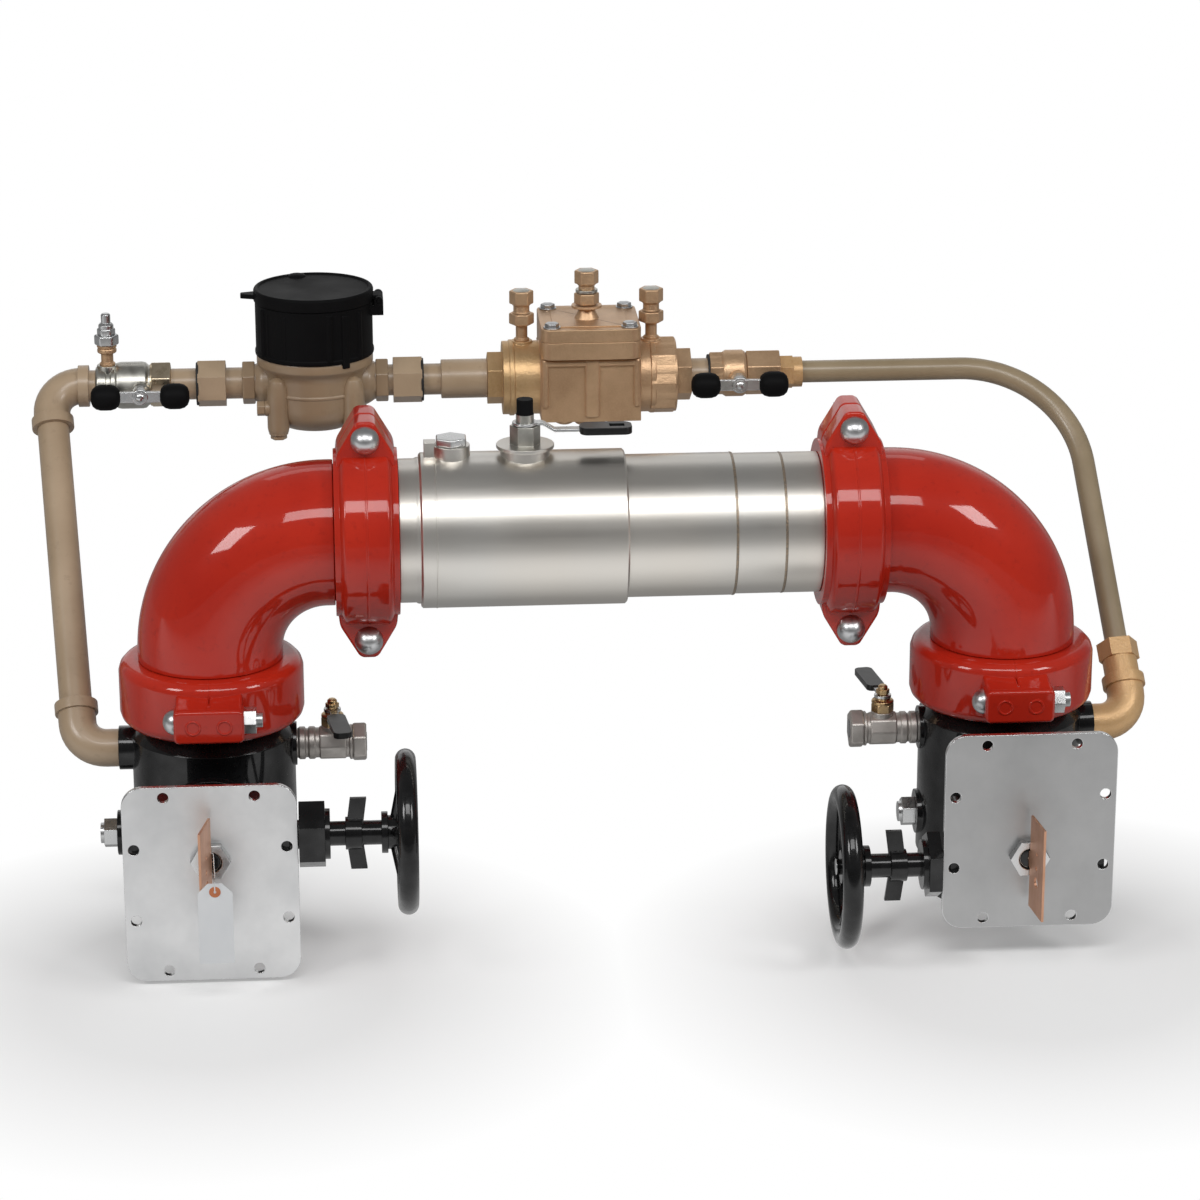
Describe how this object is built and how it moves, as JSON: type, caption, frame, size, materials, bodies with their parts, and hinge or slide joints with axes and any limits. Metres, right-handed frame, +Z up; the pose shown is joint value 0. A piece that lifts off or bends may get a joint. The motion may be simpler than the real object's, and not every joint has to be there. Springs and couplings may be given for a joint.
{
  "type": "backflow detector assembly",
  "caption": "Fire main backflow detector: stainless check housing on red grooved elbows, geared butterfly valves with flags, and a metered bypass behind.",
  "frame": {"origin": "centre of the inlet valve's open end, on the plane that both valve ends stand on", "axes": "+X from the inlet end to the outlet end, +Y to the bypass at the back, +Z up along the valves"},
  "size_m": [0.9262, 0.4853, 0.4815],
  "materials": {
    "red_paint": "gloss red enamel",
    "stainless": "satin",
    "black_paint": "gloss black enamel on castings",
    "plate_steel": "matt bead blasted",
    "zinc": "bright zinc",
    "gasket_rubber": "matt",
    "bronze": "natural cast bronze",
    "tan_bronze": "tan coat on bronze",
    "bright_brass": "bright plated brass",
    "nickel_bronze": "dull grey bronze",
    "copper": "plain copper",
    "black_plastic": "matt black",
    "grip_vinyl": "black dipped grip",
    "card": "white card",
    "dial_face": "printed dial",
    "hand_red": "red",
    "seat_plastic": "moulded",
    "wire_steel": "bare wire"
  },
  "bodies": {
    "frame": {"check_housing": "stainless", "inlet_elbow": "red_paint", "outlet_elbow": "red_paint", "inlet_pipe_coupling_front": "red_paint", "inlet_pipe_coupling_back": "red_paint", "outlet_pipe_coupling_front": "red_paint", "outlet_pipe_coupling_back": "red_paint", "inlet_valve_coupling_left": "red_paint", "inlet_valve_coupling_right": "red_paint", "outlet_valve_coupling_left": "red_paint", "outlet_valve_coupling_right": "red_paint", "coupling_gaskets": "gasket_rubber", "coupling_bolts": "zinc", "coupling_nuts": "zinc", "inlet_valve_body": "black_paint", "outlet_valve_body": "black_paint", "inlet_gearbox": "black_paint", "outlet_gearbox": "black_paint", "inlet_cover_plate": "plate_steel", "outlet_cover_plate": "plate_steel", "stem_lock_nuts": "zinc", "body_plugs": "nickel_bronze", "check_seats": "seat_plastic", "check_hinge_pins": "wire_steel", "access_plug": "zinc", "housing_test_valve_body": "bright_brass", "street_elbows": "tan_bronze", "riser_pipe": "tan_bronze", "bypass_inlet_valve_body": "bright_brass", "bypass_pipes": "tan_bronze", "pipe_nuts": "tan_bronze", "meter_body": "tan_bronze", "meter_register_box": "black_plastic", "register_dial": "dial_face", "bypass_check_body": "bronze", "bypass_check_cover": "bronze", "cover_screws": "bronze", "test_cocks": "nickel_bronze", "bypass_outlet_valve_body": "bronze", "bypass_outlet_tube": "tan_bronze", "side_test_valve_bodies": "nickel_bronze"},
    "inlet_closure": {"inlet_disc": "stainless", "inlet_flag": "copper", "tag_wire": "wire_steel"},
    "outlet_closure": {"outlet_disc": "stainless", "outlet_flag": "copper"},
    "inlet_wheel": {"inlet_handwheel": "black_paint", "inlet_drive_shaft": "black_paint"},
    "outlet_wheel": {"outlet_handwheel": "black_paint", "outlet_drive_shaft": "black_paint"},
    "hanging_tag": {"paper_tag": "card"},
    "inlet_bypass_handle": {"bypass_inlet_handle": "bright_brass"},
    "outlet_bypass_handle": {"bypass_outlet_handle": "bright_brass"},
    "inlet_lever": {"inlet_test_lever": "grip_vinyl"},
    "outlet_lever": {"outlet_test_lever": "grip_vinyl"},
    "housing_lever": {"housing_test_lever": "zinc"},
    "first_check": {"first_clapper": "seat_plastic"},
    "second_check": {"second_clapper": "seat_plastic"},
    "register_lid": {"meter_lid": "black_plastic"},
    "register_hand": {"sweep_hand": "hand_red"}
  },
  "joints": [
    {"name": "inlet_wheel_turn", "type": "hinge", "parent": "frame", "child": "inlet_wheel", "pos_m": [0.1545, -0.141, 0.1185], "axis": [1, 0, 0], "range_deg": [0, 2160]},
    {"name": "inlet_disc_turn", "type": "hinge", "parent": "frame", "child": "inlet_closure", "pos_m": [0, 0, 0.1065], "axis": [0, 1, 0], "range_deg": [0, 90]},
    {"name": "outlet_wheel_turn", "type": "hinge", "parent": "frame", "child": "outlet_wheel", "pos_m": [0.5032, -0.141, 0.078], "axis": [1, 0, 0], "range_deg": [0, 2160]},
    {"name": "outlet_disc_turn", "type": "hinge", "parent": "frame", "child": "outlet_closure", "pos_m": [0.6487, 0, 0.09], "axis": [0, 1, 0], "range_deg": [0, 90]},
    {"name": "tag_swing", "type": "hinge", "parent": "inlet_closure", "child": "hanging_tag", "pos_m": [0.0041, -0.206, 0.0986], "axis": [0, 1, 0], "range_deg": [-30, 30]},
    {"name": "inlet_bypass_turn", "type": "hinge", "parent": "frame", "child": "inlet_bypass_handle", "pos_m": [-0.05825, 0.187, 0.3873], "axis": [0, 1, 0], "range_deg": [0, 90]},
    {"name": "outlet_bypass_turn", "type": "hinge", "parent": "frame", "child": "outlet_bypass_handle", "pos_m": [0.44985, 0.187, 0.3873], "axis": [0, 1, 0], "range_deg": [0, 90]},
    {"name": "inlet_test_turn", "type": "hinge", "parent": "frame", "child": "inlet_lever", "pos_m": [0.0975, 0, 0.171], "axis": [0, 0, 1], "range_deg": [0, 90]},
    {"name": "outlet_test_turn", "type": "hinge", "parent": "frame", "child": "outlet_lever", "pos_m": [0.5512, 0, 0.171], "axis": [0, 0, 1], "range_deg": [0, 90]},
    {"name": "housing_test_turn", "type": "hinge", "parent": "frame", "child": "housing_lever", "pos_m": [0.25735, 0, 0.405], "axis": [0, 0, 1], "range_deg": [0, 90]},
    {"name": "first_check_swing", "type": "hinge", "parent": "frame", "child": "first_check", "pos_m": [0.23435, 0, 0.3685], "axis": [0, -1, 0], "range_deg": [0, 60], "stiffness_Nm_per_rad": 0.4, "springref_deg": -17.19},
    {"name": "second_check_swing", "type": "hinge", "parent": "frame", "child": "second_check", "pos_m": [0.37435, 0, 0.3685], "axis": [0, -1, 0], "range_deg": [0, 60], "stiffness_Nm_per_rad": 0.4, "springref_deg": -17.19},
    {"name": "lid_swing", "type": "hinge", "parent": "frame", "child": "register_lid", "pos_m": [0.14435, 0.225, 0.46], "axis": [0, 1, 0], "range_deg": [0, 100]},
    {"name": "hand_turn", "type": "hinge", "parent": "frame", "child": "register_hand", "pos_m": [0.08935, 0.225, 0.4505], "axis": [0, 0, 1], "continuous": true}
  ],
  "couplings": [
    {"joint": "inlet_disc_turn", "follows": "inlet_wheel_turn", "ratio": 0.041667},
    {"joint": "outlet_disc_turn", "follows": "outlet_wheel_turn", "ratio": 0.041667}
  ]
}
